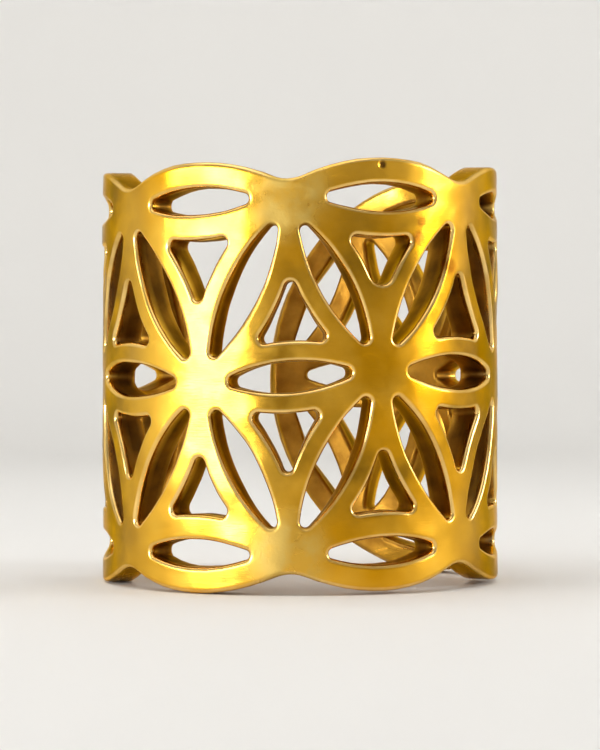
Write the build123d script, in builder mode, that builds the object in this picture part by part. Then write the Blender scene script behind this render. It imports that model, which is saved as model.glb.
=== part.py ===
"""A hair cuff bead: one pierced brass band, bent round into an open ring.

The band is five overlapping circles in a row, each filled with a six-petalled flower.
Lengths are millimetres, +Z is up, and the cuff stands on its scalloped lower rim with its
axis on Z. An azimuth is 0 towards -Y, the front, and grows towards +X.
"""
import os
from math import cos, pi, radians, sin, tan

from build123d import *

# The band
OUTER_RADIUS = 7.0
WALL = 1.1
INNER_RADIUS = OUTER_RADIUS - WALL
STRAND = 0.72          # width of a strand of the flowers
RIM_STRAND = 0.90      # width of a strand along the two rims and round the two ends

# The flowers, on the outer face as if it were unrolled: x along the band, y up it,
# and (0, 0) at the middle of the middle flower
FLOWERS = 5
PITCH = 6.6            # from one flower's middle to the next
ROW_RISE = 5.92        # from the row of flower middles up to the row of petal ends
MIDDLE_AZIMUTH = 24.0  # where the middle flower looks

# Rounding of the corners of the openings
PETAL_CORNER = 0.16
WEB_CORNER = 0.17
DIP_CORNER = 1.3       # in the dip between two scallops of a rim

# The web above the middle flower's middle has a rounder corner there
ROUND_WEB = {(0, 0), (0.5, 1), (-0.5, 1)}
ROUND_WEB_CORNER = 0.40

# A petal's side is a sixth of a circle
HALF_SIDE = radians(30)
RIM_TOP = ROW_RISE + PITCH * (1 - cos(HALF_SIDE)) + RIM_STRAND / 2

# The band is made by hand, and some points of the two flowers in front stand off their
# regular places
# column and row of the point, how far off along the band, how far off up it
DRIFTS = (
    (-1.0, 0, 0.18, -0.30),
    (0.0, 0, -0.14, 0.17),
    (-1.5, 1, 0.0, -0.25),
    (-0.5, 1, -0.05, -0.08),
    (0.5, -1, 0.0, 0.22),
)

# A cutter's flat ends lie inside the bore and outside the band, also at its corners
CUT_FROM = 0.7 * INNER_RADIUS
CUT_TO = 1.1 * OUTER_RADIUS
OVERSHOOT = 1.0        # how far the uncut band stands above and below the scallops


def place_of(point):
    """Where a flower's middle or a petal's end lies on the unrolled band."""
    column, row = point
    place = Vector(column * PITCH, row * ROW_RISE)
    for drift_column, drift_row, along, up in DRIFTS:
        if point == (drift_column, drift_row):
            place += Vector(along, up)
    return place


def petal_side(start, end, grow):
    """Centre and radius of a petal's side, the one on the left on the way to its end."""
    way = end - start
    left = Vector(-way.Y, way.X).normalized()
    centre = (start + end) * 0.5 - left * (way.length * cos(HALF_SIDE))
    return centre, way.length + grow


def strand_of(start, end):
    """A petal along a rim or an end has wider strands than a spoke of a flower."""
    on_rim = start not in middles and end not in middles
    return RIM_STRAND if on_rim else STRAND


def petal_opening(start, end):
    """The opening inside a petal, where two circles overlap."""
    inset = -strand_of(start, end) / 2
    ends = place_of(start), place_of(end)
    near_centre, near_radius = petal_side(*ends, inset)
    far_centre, far_radius = petal_side(*reversed(ends), inset)
    with BuildSketch() as opening:
        with Locations(near_centre):
            Circle(near_radius)
        with Locations(far_centre):
            Circle(far_radius, mode=Mode.INTERSECT)
        fillet(opening.vertices(), PETAL_CORNER)
    return opening.sketch


def web_opening(corners):
    """The three-sided opening between three petals; its corners go round to the left."""
    sides = list(zip(corners, corners[1:] + corners[:1]))
    with BuildSketch() as opening:
        with BuildLine():
            Polyline(*[place_of(corner) for corner in corners], close=True)
        make_face()
        for start, end in sides:
            centre, radius = petal_side(place_of(start), place_of(end), strand_of(start, end) / 2)
            with Locations(centre):
                Circle(radius, mode=Mode.SUBTRACT)
        for corner in corners:
            is_round = corner == (0, 0) and set(corners) == ROUND_WEB
            vertex = opening.vertices().sort_by_distance(place_of(corner))[0]
            fillet(vertex, ROUND_WEB_CORNER if is_round else WEB_CORNER)
    return opening.sketch


def outside_of(petals, low, high):
    """What lies between two corners of a frame and outside the petals' outer sides."""
    with BuildSketch() as waste:
        with BuildLine():
            Polyline(low, (high[0], low[1]), high, (low[0], high[1]), close=True)
        make_face()
        for start, end in petals:
            centre, radius = petal_side(place_of(start), place_of(end), RIM_STRAND / 2)
            with Locations(centre):
                Circle(radius, mode=Mode.SUBTRACT)
    return waste.sketch


def radial_cutter(opening):
    """A cutter through the bent band, whose walls all point at the axis."""
    box = opening.bounding_box()
    middle = (box.min.X + box.max.X) / 2
    azimuth = radians(MIDDLE_AZIMUTH) + middle / OUTER_RADIUS
    outward = Vector(sin(azimuth), -cos(azimuth), 0)
    onward = Vector(cos(azimuth), sin(azimuth), 0)
    with BuildPart() as cutter:
        for distance in (CUT_FROM, CUT_TO):
            facing = Plane(outward * distance + Vector(0, 0, RIM_TOP), onward, outward)
            with BuildSketch(facing):
                with BuildLine():
                    for edge in opening.face().outer_wire().order_edges():
                        marks = [
                            (distance * tan((mark.X - middle) / OUTER_RADIUS), mark.Y)
                            for mark in (edge @ 0, edge @ 0.5, edge @ 1)
                        ]
                        if edge.geom_type == GeomType.LINE:
                            Line(marks[0], marks[2])
                        else:
                            ThreePointArc(*marks)
                make_face()
        loft(ruled=True)
    return cutter.part


# The points of the flowers: their middles in the row 0, and the petal ends round each
last_column = (FLOWERS - 1) / 2
middles = [(column - last_column, 0) for column in range(FLOWERS)]
PETAL_ENDS = ((1, 0), (0.5, 1), (-0.5, 1), (-1, 0), (-0.5, -1), (0.5, -1))

petals = set()
webs = set()
for column, row in middles:
    ends = [(column + along, row + up) for along, up in PETAL_ENDS]
    for here, following in zip(ends, ends[1:] + ends[:1]):
        petals.add(tuple(sorted([(column, row), here])))
        petals.add(tuple(sorted([here, following])))
        turned = [(column, row), here, following]
        first = turned.index(min(turned))
        webs.add(tuple(turned[first:] + turned[:first]))

openings = [petal_opening(*petal) for petal in sorted(petals)]
openings += [web_opening(corners) for corners in sorted(webs)]

# The waste above and below the scallops: the dips between the flowers' middles, and the
# plain stretch from each end flower's middle to its last petal end
edge_of_band = RIM_TOP + OVERSHOOT
scallops = {}
for side in (1, -1):
    for column, row in middles:
        ends = (column - side / 2, side), (column + side / 2, side)
        scallops[column, side] = ends
    for column, row in middles[:-1]:
        low = (column * PITCH, side * ROW_RISE)
        high = ((column + 1) * PITCH, side * edge_of_band)
        with BuildSketch() as dip:
            add(outside_of([scallops[column, side], scallops[column + 1, side]], low, high))
            fillet(dip.vertices().sort_by(Axis.Y)[0 if side > 0 else -1], DIP_CORNER)
        openings.append(dip.sketch)
    for turn in (1, -1):
        column = turn * last_column
        low = (column * PITCH, side * ROW_RISE)
        high = ((column + turn / 2) * PITCH, side * edge_of_band)
        openings.append(outside_of([scallops[column, side]], low, high))

# The waste in the gap, half of it beyond each end of the band
GAP_MIDDLE = pi * OUTER_RADIUS
for turn in (1, -1):
    column = turn * last_column
    tip = (column + turn, 0)
    shoulders = [(column + turn / 2, side) for side in (1, -1)]
    low = (place_of(shoulders[0]).X, -edge_of_band)
    high = (turn * GAP_MIDDLE, edge_of_band)
    if turn > 0:
        end_petals = [(shoulders[0], tip), (tip, shoulders[1])]
    else:
        end_petals = [(tip, shoulders[0]), (shoulders[1], tip)]
    openings.append(outside_of(end_petals, low, high))

cutters = [radial_cutter(opening) for opening in openings]

with BuildPart() as cuff_band:
    with Locations((0, 0, -OVERSHOOT)):
        Cylinder(OUTER_RADIUS, 2 * edge_of_band, align=(Align.CENTER, Align.CENTER, Align.MIN))
        Cylinder(
            INNER_RADIUS,
            2 * edge_of_band,
            align=(Align.CENTER, Align.CENTER, Align.MIN),
            mode=Mode.SUBTRACT,
        )
    add(cutters, mode=Mode.SUBTRACT)

cuff_band.part.label = "cuff_band"
os.makedirs("parts", exist_ok=True)
export_step(cuff_band.part, "parts/cuff_band.step")
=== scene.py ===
from math import atan2, cos, radians

import bmesh
import bpy
from mathutils import Matrix, Vector
from mathutils.geometry import intersect_sphere_sphere_2d


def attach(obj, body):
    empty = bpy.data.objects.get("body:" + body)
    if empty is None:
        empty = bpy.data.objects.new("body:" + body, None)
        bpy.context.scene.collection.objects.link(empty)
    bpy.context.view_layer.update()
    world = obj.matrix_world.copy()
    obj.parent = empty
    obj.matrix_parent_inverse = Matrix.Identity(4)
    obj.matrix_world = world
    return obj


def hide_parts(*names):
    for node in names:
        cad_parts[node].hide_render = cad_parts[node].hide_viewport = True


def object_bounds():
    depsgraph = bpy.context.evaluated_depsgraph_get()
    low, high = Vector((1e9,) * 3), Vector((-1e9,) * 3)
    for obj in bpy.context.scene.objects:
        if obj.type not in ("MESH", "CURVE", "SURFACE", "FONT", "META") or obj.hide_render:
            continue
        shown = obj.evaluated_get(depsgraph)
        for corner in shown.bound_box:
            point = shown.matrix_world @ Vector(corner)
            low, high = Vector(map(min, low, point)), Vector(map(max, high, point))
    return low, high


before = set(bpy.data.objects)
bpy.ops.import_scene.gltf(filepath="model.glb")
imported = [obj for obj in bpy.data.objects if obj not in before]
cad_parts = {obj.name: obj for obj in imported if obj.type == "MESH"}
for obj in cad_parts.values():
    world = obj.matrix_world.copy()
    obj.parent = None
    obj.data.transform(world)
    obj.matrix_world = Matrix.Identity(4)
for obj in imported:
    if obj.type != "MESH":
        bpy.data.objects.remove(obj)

cad_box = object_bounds()
bpy.ops.object.select_all(action="DESELECT")

# The cuff band is one casting of yellow brass. It starts as a flat strip of five overlapping
# circles, each pierced as a six-petalled flower. Here the strip is laid out flat, as its maker
# drew it: x runs along it, z is up, and the outer face looks towards -Y.
MM = 0.001
OUTER_RADIUS = 7.0 * MM
WALL = 1.1 * MM
STRAND = 0.72 * MM
RIM_STRAND = 0.90 * MM
FLOWERS = 5
PITCH = 6.6 * MM
ROW_RISE = 5.92 * MM
MIDDLE_AZIMUTH = radians(24)
MIDDLE_HEIGHT = (cad_box[0].z + cad_box[1].z) / 2

PETAL_CORNER = 0.16 * MM
WEB_CORNER = 0.17 * MM
DIP_CORNER = 1.3 * MM

# The web above the middle flower's middle has a rounder corner there
ROUND_WEB = {(0, 0), (0.5, 1), (-0.5, 1)}
ROUND_WEB_CORNER = 0.40 * MM

# A petal's side is a sixth of a circle
HALF_SIDE = radians(30)

# Some points of the two flowers in front are a little off their places: how far along the
# strip, and how far up it
DRIFTS = {
    (-1.0, 0): (0.18 * MM, -0.30 * MM),
    (0.0, 0): (-0.14 * MM, 0.17 * MM),
    (-1.5, 1): (0.0, -0.25 * MM),
    (-0.5, 1): (-0.05 * MM, -0.08 * MM),
    (0.5, -1): (0.0, 0.22 * MM),
}
PETAL_ENDS = ((1, 0), (0.5, 1), (-0.5, 1), (-1, 0), (-0.5, -1), (0.5, -1))
last_column = (FLOWERS - 1) / 2
middles = [(column - last_column, 0) for column in range(FLOWERS)]

# How finely the strip is divided: round a tip of a petal's opening, along the line from a
# flower's middle to a corner of a web, round that corner, and along and across the rest of
# the strand
ROUND_TIP = 6
TO_CORNER = 8
ROUND_CORNER = 3
ALONG_STRAND = 12
ACROSS_STRAND = 3
# The edges' own rows of faces, which take up their rounding, are this wide
COLLAR = 0.21 * MM


def place_of(point):
    """Where a flower's middle or a petal's end lies on the flat strip."""
    along, up = DRIFTS.get(point, (0, 0))
    return Vector((point[0] * PITCH + along, point[1] * ROW_RISE + up))


def strand_of(start, end):
    """A petal along a rim or an end has wider strands than a spoke of a flower."""
    on_rim = start not in middles and end not in middles
    return RIM_STRAND if on_rim else STRAND


def petal_side(start, end, grow):
    """Centre and radius of a petal's side, the one on the left on the way to its end."""
    way = place_of(end) - place_of(start)
    left = Vector((-way.y, way.x)).normalized()
    centre = (place_of(start) + place_of(end)) / 2 - left * way.length * cos(HALF_SIDE)
    return centre, way.length + grow


def crossing(first, second, near):
    """Where two circles cross, at the crossing that is nearer to a point."""
    points = intersect_sphere_sphere_2d(*first, *second)
    return min(points, key=lambda point: (point - near).length)


def turn_between(spoke, other):
    """The angle from one spoke of a circle to another, the short way."""
    return atan2(spoke.x * other.y - spoke.y * other.x, spoke.dot(other))


def arc(centre, start, end, steps):
    """Points round a centre from start to end, the short way, without the last."""
    spoke = start - centre
    turn = turn_between(spoke, end - centre)
    return [centre + Matrix.Rotation(turn * step / steps, 2) @ spoke for step in range(steps)]


def towards(circle, point):
    """The point of a circle that lies on the line from its centre to a point."""
    centre, radius = circle
    return centre + (point - centre).normalized() * radius


def far_edge(start, end, corners, inset):
    """The edge of a strand that lies away from its petal, or a line inset from it.

    Each of the two corners is the strand that it shares, its rounding, and a point near it.
    """
    side = petal_side(start, end, strand_of(start, end) / 2 - inset)
    joins = []
    rounds = []
    for other, rounding, near in corners:
        other_side = petal_side(*other, strand_of(*other) / 2 - inset)
        if rounding:
            rounding += inset
        grown = [(centre, radius + rounding) for centre, radius in (side, other_side)]
        bend = crossing(*grown, near=near)
        join = towards(side, bend)
        joins.append(join)
        if rounding:
            halfway = (join - bend).normalized() + (towards(other_side, bend) - bend).normalized()
            corner = bend + halfway.normalized() * rounding
            rounds.append((bend, corner, join))
        else:
            rounds.append(None)
    chain = []
    if rounds[0]:
        chain += arc(*rounds[0], ROUND_CORNER)
    chain += arc(side[0], *joins, ALONG_STRAND)
    if rounds[1]:
        bend, corner, join = rounds[1]
        chain += arc(bend, join, corner, ROUND_CORNER)
        chain.append(corner)
    else:
        chain.append(joins[1])
    return chain


def near_edge(start, end, abreast, inset):
    """The left side of a petal's opening, or a line inset from it, abreast of given points."""
    grow = inset - strand_of(start, end) / 2
    rounding = PETAL_CORNER + inset
    sides = petal_side(start, end, grow), petal_side(end, start, grow)
    smaller = [(centre, radius - rounding) for centre, radius in sides]
    ends = place_of(start), place_of(end)
    bends = [crossing(*smaller, near=point) for point in ends]
    tips = [bend + (point - bend).normalized() * rounding for bend, point in zip(bends, ends)]
    joins = [towards(sides[0], bend) for bend in bends]
    centre = sides[0][0]
    spoke = joins[0] - centre
    turns = [turn_between(abreast[0] - centre, point - centre) for point in abreast]
    whole_turn = turn_between(spoke, joins[1] - centre)
    chain = arc(bends[0], tips[0], joins[0], ROUND_TIP)
    for turn in turns:
        chain.append(centre + Matrix.Rotation(whole_turn * turn / turns[-1], 2) @ spoke)
    chain += arc(bends[1], joins[1], tips[1], ROUND_TIP)[1:]
    chain.append(tips[1])
    return chain


def lay_faces(chain, other_chain, rows):
    """Rows of faces between two chains of points: a grid that is pulled to them."""
    lengths = len(chain) - 1
    bpy.ops.mesh.primitive_grid_add(x_subdivisions=lengths, y_subdivisions=rows, size=2)
    grid = bpy.context.active_object
    for vertex in grid.data.vertices:
        along = round((vertex.co.x + 1) / 2 * lengths)
        across = (vertex.co.y + 1) / 2
        point = chain[along].lerp(other_chain[along], across)
        vertex.co = (point.x, 0, point.y)
    strands.append(grid)


def lay_strand(start, end, corners, to_corner):
    """One strand beside a petal: its two edges' rows of faces, and the rows between."""
    first, last = place_of(start), place_of(end)
    far_line = far_edge(start, end, corners, COLLAR)
    lay_faces(far_line, far_edge(start, end, corners, 0), 1)
    from_first = [first.lerp(far_line[0], step / to_corner) for step in range(to_corner)]
    to_last = [last.lerp(far_line[-1], step / to_corner) for step in range(to_corner)]
    far_line = from_first + far_line + to_last[::-1]
    abreast = far_line[ROUND_TIP:-ROUND_TIP]
    near_line = near_edge(start, end, abreast, COLLAR)
    lay_faces(near_line, far_line, ACROSS_STRAND)
    lay_faces(near_edge(start, end, abreast, 0), near_line, 1)


strands = []
laid_sides = set()
for column, row in middles:
    ends = [(column + along, row + up) for along, up in PETAL_ENDS]
    for here, following in zip(ends, ends[1:] + ends[:1]):
        web = [(column, row), here, following]
        sides = list(zip(web, web[1:] + web[:1]))
        inside = sum((place_of(corner) for corner in web), Vector((0, 0))) / 3
        for number, (start, end) in enumerate(sides):
            if (start, end) in laid_sides:
                continue
            laid_sides.add((start, end))
            before, after = sides[number - 1], sides[(number + 1) % 3]
            corners = []
            for other, point in ((before, start), (after, end)):
                is_round = point == (0, 0) and set(web) == ROUND_WEB
                corners.append((other, ROUND_WEB_CORNER if is_round else WEB_CORNER, inside))
            lay_strand(start, end, corners, TO_CORNER)

# The strands outside the rim's petals, round the whole strip, each up to the next
rim = []
for column, row in middles:
    rim.append(((column - 0.5, 1), (column + 0.5, 1)))
tip = (last_column + 1, 0)
rim += [((last_column + 0.5, 1), tip), (tip, (last_column + 0.5, -1))]
for column, row in reversed(middles):
    rim.append(((column + 0.5, -1), (column - 0.5, -1)))
tip = (-last_column - 1, 0)
rim += [((-last_column - 0.5, -1), tip), (tip, (-last_column - 0.5, 1))]
for number, (start, end) in enumerate(rim):
    before, after = rim[number - 1], rim[(number + 1) % len(rim)]
    corners = []
    for other, point in ((before, start), (after, end)):
        scalloped = start[1] == end[1] == other[0][1] == other[1][1]
        corner = DIP_CORNER if scalloped else 0
        # The edges cross twice, and the crossing that lies beyond the strip is meant
        beyond = Vector((point[0] * PITCH, point[1] * ROW_RISE)) * 1.1
        corners.append((other, corner, beyond))
    lay_strand(start, end, corners, 1)

for strand in strands:
    strand.select_set(True)
bpy.context.view_layer.objects.active = strands[0]
bpy.ops.object.join()
band = bpy.context.active_object
band.name = "pierced_band"
bpy.ops.object.mode_set(mode="EDIT")
bpy.ops.mesh.select_all(action="SELECT")
bpy.ops.mesh.remove_doubles(threshold=0.002 * MM)
bpy.ops.mesh.normals_make_consistent(inside=False)
if bmesh.from_edit_mesh(band.data).faces[0].normal.y > 0:
    bpy.ops.mesh.flip_normals()
bpy.ops.transform.translate(value=(MIDDLE_AZIMUTH * OUTER_RADIUS, 0, MIDDLE_HEIGHT))
bpy.ops.object.mode_set(mode="OBJECT")


def finish_with(kind, **settings):
    """Adds a modifier with these settings to the band, and applies it."""
    bpy.ops.object.modifier_add(type=kind)
    modifier = band.modifiers[-1]
    for name, value in settings.items():
        setattr(modifier, name, value)
    bpy.ops.object.modifier_apply(modifier=modifier.name)


# The strip gets the thickness of its wall, and its edges are rounded over
EDGE = 0.16 * MM
finish_with("SOLIDIFY", thickness=WALL, offset=-1, use_even_offset=True)
finish_with(
    "BEVEL", width=EDGE, segments=4, limit_method="ANGLE", angle_limit=radians(60),
    use_clamp_overlap=False,
)

# The rounding of the edges is marked while the outer face is still flat at y = 0, from just
# under a face to near the rounding's lower end, because wear brightens it
edge_marks = band.data.attributes.new("rounded_edge", "FLOAT", "POINT")
for vertex, mark in zip(band.data.vertices, edge_marks.data):
    depth = min(vertex.co.y, WALL - vertex.co.y)
    mark.value = 0.03 * EDGE < depth < 0.7 * EDGE

# It is bent round into the ring, with its axis on Z
finish_with(
    "SIMPLE_DEFORM", deform_method="BEND", deform_axis="Z",
    angle=band.dimensions.x / OUTER_RADIUS,
)
bpy.ops.object.mode_set(mode="EDIT")
bpy.ops.mesh.select_all(action="SELECT")
bpy.ops.transform.translate(value=(0, -OUTER_RADIUS, 0))
bpy.ops.object.mode_set(mode="OBJECT")

# Casting and filing left it a little uneven: broad swells and small dents, nearly all of them
# inwards, so that the cuff keeps within its sizes
for name, size, depth in (("swells", 2.2 * MM, 0.07 * MM), ("dents", 0.9 * MM, 0.035 * MM)):
    uneven = bpy.data.textures.new(name, "CLOUDS")
    uneven.noise_scale = size
    uneven.noise_depth = 1
    finish_with(
        "DISPLACE", texture=uneven, texture_coords="LOCAL", mid_level=0.75, strength=depth,
    )
bpy.ops.object.shade_smooth_by_angle(angle=radians(50))

# Yellow brass: rubbed bright on the outer face, with a painted highlight round the flower on the
# left and painted shade round the middle flower and on both flanks, and brown and dull in the
# openings and the bore, partly as painted shade
YELLOW_GLEAM = (0.95, 0.70, 0.30, 1)
brass = bpy.data.materials.new("cast_brass")
brass.use_nodes = True
nodes = brass.node_tree.nodes
links = brass.node_tree.links
shader = nodes["Principled BSDF"]
shader.inputs["Metallic"].default_value = 1
shader.inputs["Specular Tint"].default_value = YELLOW_GLEAM
place = nodes.new("ShaderNodeTexCoord").outputs["Object"]


def maths(kind, operation, first, second):
    """A sum, product or the like of two values, or of two vectors."""
    node = nodes.new(kind)
    node.operation = operation
    for socket, given in zip(node.inputs, (first, second)):
        if isinstance(given, bpy.types.NodeSocket):
            links.new(given, socket)
        else:
            socket.default_value = given
    return next(output for output in node.outputs if output.enabled)


def plus(first, second):
    """The sum of two values."""
    return maths("ShaderNodeMath", "ADD", first, second)


def less(first, second):
    """The first value less the second."""
    return maths("ShaderNodeMath", "SUBTRACT", first, second)


def times(first, second):
    """The product of two values."""
    return maths("ShaderNodeMath", "MULTIPLY", first, second)


def noise(size, where=place, detail=3):
    """Noise whose blots are about as big as size."""
    texture = nodes.new("ShaderNodeTexNoise")
    texture.inputs["Scale"].default_value = 1 / size
    texture.inputs["Detail"].default_value = detail
    links.new(where, texture.inputs["Vector"])
    return texture.outputs["Fac"]


def ranged(value, low, high, to_low, to_high):
    """The value's range from low to high, made into another range."""
    spread = nodes.new("ShaderNodeMapRange")
    links.new(value, spread.inputs["Value"])
    spread.inputs["From Min"].default_value = low
    spread.inputs["From Max"].default_value = high
    spread.inputs["To Min"].default_value = to_low
    spread.inputs["To Max"].default_value = to_high
    return spread.outputs["Result"]


def mixed(factor, first, second):
    """Two colours, each a tuple or another mix, mixed by the factor."""
    mix = nodes.new("ShaderNodeMixRGB")
    links.new(factor, mix.inputs["Fac"])
    for socket, colour in zip(mix.inputs[1:], (first, second)):
        if isinstance(colour, tuple):
            socket.default_value = (*colour, 1)
        else:
            links.new(colour, socket)
    return mix.outputs["Color"]


def spot(point, radius):
    """1 in the inner half of a round spot about a point of the outer face, 0 outside it."""
    turn = MIDDLE_AZIMUTH + point.x / OUTER_RADIUS
    middle = Matrix.Rotation(turn, 3, "Z") @ Vector((0, -OUTER_RADIUS, MIDDLE_HEIGHT + point.y))
    away = maths("ShaderNodeVectorMath", "DISTANCE", place, middle)
    return ranged(away, 0.5 * radius, radius, 1, 0)


def at_any(values):
    """The largest of some values."""
    largest = values[0]
    for value in values[1:]:
        largest = maths("ShaderNodeMath", "MAXIMUM", largest, value)
    return largest


def patchy(mask, size, low, high, least, most=1):
    """A mask of which least to most is left, where noise goes from low to high."""
    return times(mask, ranged(noise(size), low, high, least, most))


# The distance from the axis tells the rubbed outer face and the worn bore from the walls of the
# openings, whose brown is painted shade with stains, and the height tells the rims, which are
# rubbed nearly as much
RIMS_START = 6.2 * MM
RIMS_END = 6.8 * MM
RIMS_RUBBED = 0.7
BORE_RADIUS = OUTER_RADIUS - WALL
from_axis = maths("ShaderNodeVectorMath", "MULTIPLY", place, (1, 1, 0))
from_axis = maths("ShaderNodeVectorMath", "LENGTH", from_axis, (0, 0, 0))
outer_face = ranged(from_axis, OUTER_RADIUS - 3 * EDGE, OUTER_RADIUS - EDGE, 0, 1)
bore = ranged(from_axis, BORE_RADIUS + EDGE / 2, BORE_RADIUS + 2 * EDGE, 1, 0)
place_parts = nodes.new("ShaderNodeSeparateXYZ")
links.new(place, place_parts.inputs["Vector"])
off_middle = less(place_parts.outputs["Z"], MIDDLE_HEIGHT)
off_middle = maths("ShaderNodeMath", "ABSOLUTE", off_middle, 0)
outside = at_any([outer_face, ranged(off_middle, RIMS_START, RIMS_END, 0, RIMS_RUBBED)])

# The outer face is yellow round the flower on the left, which is a painted highlight of the lamp
# on that side, and ochre round the middle flower, which is painted shade, and ochre in clouds
# elsewhere
YELLOW = (0.84, 0.48, 0.055)
OCHRE = (0.66, 0.31, 0.006)
PAINTED_SHADE_RADIUS = 9 * MM
PAINTED_HIGHLIGHT_RADIUS = 5.5 * MM
left_flower, middle_flower = place_of((-1, 0)), place_of((0, 0))
clouds = ranged(noise(2.6 * MM, detail=2), 0.34, 0.72, 0, 1)
# Painted shade: the ochre round the middle flower stands for the dimmer light on that side
painted_shade_round_middle = patchy(spot(middle_flower, PAINTED_SHADE_RADIUS), 1.4 * MM, 0.35, 0.65, 0.6)
# Painted highlight: the flower on the left is kept yellow where the lamp on the left falls
ochre_and_painted_light = less(at_any([clouds, painted_shade_round_middle]), spot(left_flower, PAINTED_HIGHLIGHT_RADIUS))
rubbed_and_painted_light = mixed(ochre_and_painted_light, YELLOW, OCHRE)

# Darker tarnish lies in a ring round the middle flower's middle
TARNISH = (0.28, 0.14, 0.008)
TARNISH_RADIUS = 7 * MM
CLEAN_RADIUS = 3.4 * MM
ring = less(spot(middle_flower, TARNISH_RADIUS), spot(middle_flower, CLEAN_RADIUS))
rubbed_and_painted_light = mixed(patchy(ring, 1.1 * MM, 0.35, 0.65, 0.35, 0.9), rubbed_and_painted_light, TARNISH)

# Both flanks of the cuff are painted a greyer brown, as painted shade of the dim room that they
# mirror: where it starts, off the axis, and is full
UMBER = (0.24, 0.155, 0.07)
FLANKS_START = 5.0 * MM
FLANKS_END = 6.5 * MM
sideways = maths("ShaderNodeMath", "ABSOLUTE", place_parts.outputs["X"], 0)
painted_shade_flanks = ranged(sideways, FLANKS_START, FLANKS_END, 0, 1)
# Painted shade: the flanks are turned towards the greyer brown
rubbed_and_painted_light = mixed(patchy(painted_shade_flanks, 1.3 * MM, 0.35, 0.65, 0.45), rubbed_and_painted_light, UMBER)

# Wear keeps the rounded edges pale
CREAM = (0.90, 0.62, 0.22)
rounded = nodes.new("ShaderNodeAttribute")
rounded.attribute_name = "rounded_edge"
wear = patchy(rounded.outputs["Fac"], 1.6 * MM, 0.35, 0.6, 0.35)
rubbed_and_painted_light = mixed(wear, rubbed_and_painted_light, CREAM)

# The sandy skin of the casting is left round some petal ends of the rims
SAND = (0.62, 0.42, 0.10)
SANDY_ENDS = ((-0.5, 1), (-0.5, -1), (1.5, 1), (2.5, -1))
SKIN_RADIUS = 1.7 * MM
skin = at_any([spot(place_of(point), SKIN_RADIUS) for point in SANDY_ENDS])
skin = patchy(skin, 0.8 * MM, 0.35, 0.6, 0.3)
rubbed_and_painted_light = mixed(skin, rubbed_and_painted_light, SAND)

# Reddish specks of tarnish sit on the strands to the right of the middle flower, and a pit of
# the casting in the scallop above it: how far along the strip, how far up it, the radius
RUSTY = (0.30, 0.11, 0.010)
SPECKS = (
    (1.32 * MM, 4.55 * MM, 0.34 * MM),
    (1.42 * MM, 5.10 * MM, 0.24 * MM),
    (2.76 * MM, 3.66 * MM, 0.38 * MM),
    (2.60 * MM, 4.30 * MM, 0.20 * MM),
)
specks = at_any([spot(Vector((along, up)), radius) for along, up, radius in SPECKS])
rubbed_and_painted_light = mixed(patchy(specks, 0.25 * MM, 0.3, 0.6, 0.65), rubbed_and_painted_light, RUSTY)

DARK_BROWN = (0.15, 0.07, 0.012)
pit = spot(Vector((-0.12 * MM, 6.95 * MM)), 0.17 * MM)
rubbed_and_painted_light = mixed(pit, rubbed_and_painted_light, DARK_BROWN)

# The walls of the openings are painted brown as painted shade, with dark stains. The bore is
# stained brown too, partly as painted shade, and hair has worn the rest of it brighter
BROWN = (0.36, 0.17, 0.02)
WORN = (0.66, 0.36, 0.05)
stains = ranged(noise(1.1 * MM, detail=6), 0.34, 0.64, 0, 1)
stains_and_painted_shade = mixed(bore, mixed(stains, BROWN, DARK_BROWN), mixed(stains, WORN, BROWN))
links.new(mixed(outside, stains_and_painted_shade, rubbed_and_painted_light), shader.inputs["Base Color"])

# The rubbed metal is smooth, more in some patches than in others. The walls of the openings
# and the skin are rougher than that, and the bore less than those walls
ROUGHER_WALLS = 0.28
SMOOTHER_BORE = 0.14
ROUGHER_SKIN = 0.22
roughness = ranged(noise(0.6 * MM), 0.30, 0.75, 0.16, 0.27)
roughness = plus(roughness, ranged(outside, 0, 1, ROUGHER_WALLS, 0))
roughness = less(roughness, ranged(bore, 0, 1, 0, SMOOTHER_BORE))
roughness = plus(roughness, ranged(skin, 0, 1, 0, ROUGHER_SKIN))
links.new(roughness, shader.inputs["Roughness"])

# Fine lines of rubbing run round the band, the grain of the casting is left where it isn't
# rubbed, and the pit is sunk
LINES = 0.0015 * MM
GRAIN = 0.006 * MM
PIT_DEPTH = 4 * GRAIN
lines = noise(0.5 * MM, where=maths("ShaderNodeVectorMath", "MULTIPLY", place, (1, 1, 9)))
grain = noise(0.10 * MM)
unrubbed = at_any([skin, ranged(outside, 0, 1, 1, 0.12)])
height = times(grain, ranged(unrubbed, 0, 1, 0, GRAIN))
height = plus(height, ranged(lines, 0, 1, 0, LINES))
height = less(height, ranged(pit, 0, 1, 0, PIT_DEPTH))
bump = nodes.new("ShaderNodeBump")
bump.inputs["Distance"].default_value = 1
links.new(height, bump.inputs["Height"])
links.new(bump.outputs["Normal"], shader.inputs["Normal"])

band.data.materials.append(brass)
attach(band, "root")
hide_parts("cuff_band")

# The floor is a sheet of pale, dull paper. It lies flat under the cuff, narrows behind it,
# and is curved up there without a fold, so that no line shows where the floor ends
SHEET_SIZE = 0.4
BACK_NARROWING = 0.3
SHEET_RISE = 0.3
SWEEP_WIDTH = 0.06
PALE_PAPER = (0.82, 0.81, 0.79, 1)
bpy.ops.object.select_all(action="DESELECT")
bpy.ops.mesh.primitive_plane_add(size=SHEET_SIZE)
sweep = bpy.context.active_object
sweep.name = "pale_sheet"
bpy.ops.object.mode_set(mode="EDIT")
edges = bmesh.from_edit_mesh(sweep.data).edges
for edge in edges:
    edge.select_set(all(vertex.co.y > 0 for vertex in edge.verts))
bpy.ops.transform.resize(value=(BACK_NARROWING, 1, 1))
bpy.ops.mesh.extrude_region_move(TRANSFORM_OT_translate={"value": (0, 0, SHEET_RISE)})
bpy.ops.object.mode_set(mode="OBJECT")
bpy.ops.object.modifier_add(type="BEVEL")
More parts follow.
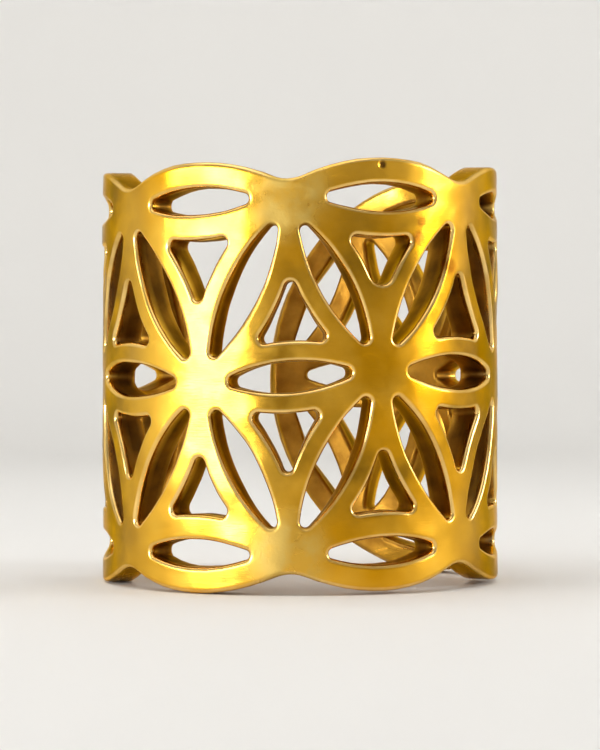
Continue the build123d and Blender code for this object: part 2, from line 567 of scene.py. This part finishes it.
sweep.modifiers[-1].width = SWEEP_WIDTH
sweep.modifiers[-1].segments = 16
bpy.ops.object.modifier_apply(modifier=sweep.modifiers[-1].name)
bpy.ops.object.shade_smooth()
paper = bpy.data.materials.new("pale_paper")
paper.use_nodes = True
paper_shader = paper.node_tree.nodes["Principled BSDF"]
paper_shader.inputs["Base Color"].default_value = PALE_PAPER
paper_shader.inputs["Roughness"].default_value = 0.8
sweep.data.materials.append(paper)

# Soft studio light: a long lamp low on the left, a weak one on the right, one overhead, and
# one for the sheet behind. The room is dim where the metal mirrors it, which keeps the brass
# deep in colour, and pale where the camera sees it past the sheet
DIM_ROOM = (0.10, 0.096, 0.092, 1)
PALE_ROOM = (0.80, 0.79, 0.77, 1)
scene = bpy.context.scene
room = bpy.data.worlds.new("room")
scene.world = room
room.use_nodes = True
room_nodes = room.node_tree.nodes
room_links = room.node_tree.links
walls = room_nodes.new("ShaderNodeMixRGB")
walls.inputs["Color1"].default_value = DIM_ROOM
walls.inputs["Color2"].default_value = PALE_ROOM
seen = room_nodes.new("ShaderNodeLightPath").outputs["Is Camera Ray"]
room_links.new(seen, walls.inputs["Fac"])
room_links.new(walls.outputs["Color"], room_nodes["Background"].inputs["Color"])


def lamp(name, stand, aim, width, height, power):
    """A soft lamp, which shines from where it stands towards another point."""
    facing = (Vector(aim) - Vector(stand)).to_track_quat("-Z", "Y").to_euler()
    bpy.ops.object.light_add(type="AREA", location=stand, rotation=facing)
    light = bpy.context.active_object
    light.name = name
    light.data.shape = "RECTANGLE"
    light.data.size = width
    light.data.size_y = height
    light.data.energy = power


cuff = (0, 0, MIDDLE_HEIGHT)
lamp("key", (-0.119, -0.052, 0.014), cuff, 0.19, 0.036, 0.32)
lamp("fill", (0.122, -0.014, 0.026), cuff, 0.04, 0.05, 0.12)
lamp("overhead", (-0.02, -0.03, 0.13), cuff, 0.14, 0.12, 0.06)
lamp("on_the_sheet", (0, 0.04, 0.15), (0, 0.20, 0.02), 0.20, 0.06, 0.065)
scene.view_settings.view_transform = "Standard"

# The camera looks level and square to the cuff's axis. It stands as near as the photograph's
# camera did, so that the nearer scallops look larger in the same measure
DISTANCE = 0.093
bpy.ops.object.camera_add(location=(0, -DISTANCE, MIDDLE_HEIGHT), rotation=(radians(90), 0, 0))
camera = bpy.context.active_object
camera.data.sensor_width = 36
camera.data.lens = 126
camera.data.clip_start = 0.001
scene.camera = camera
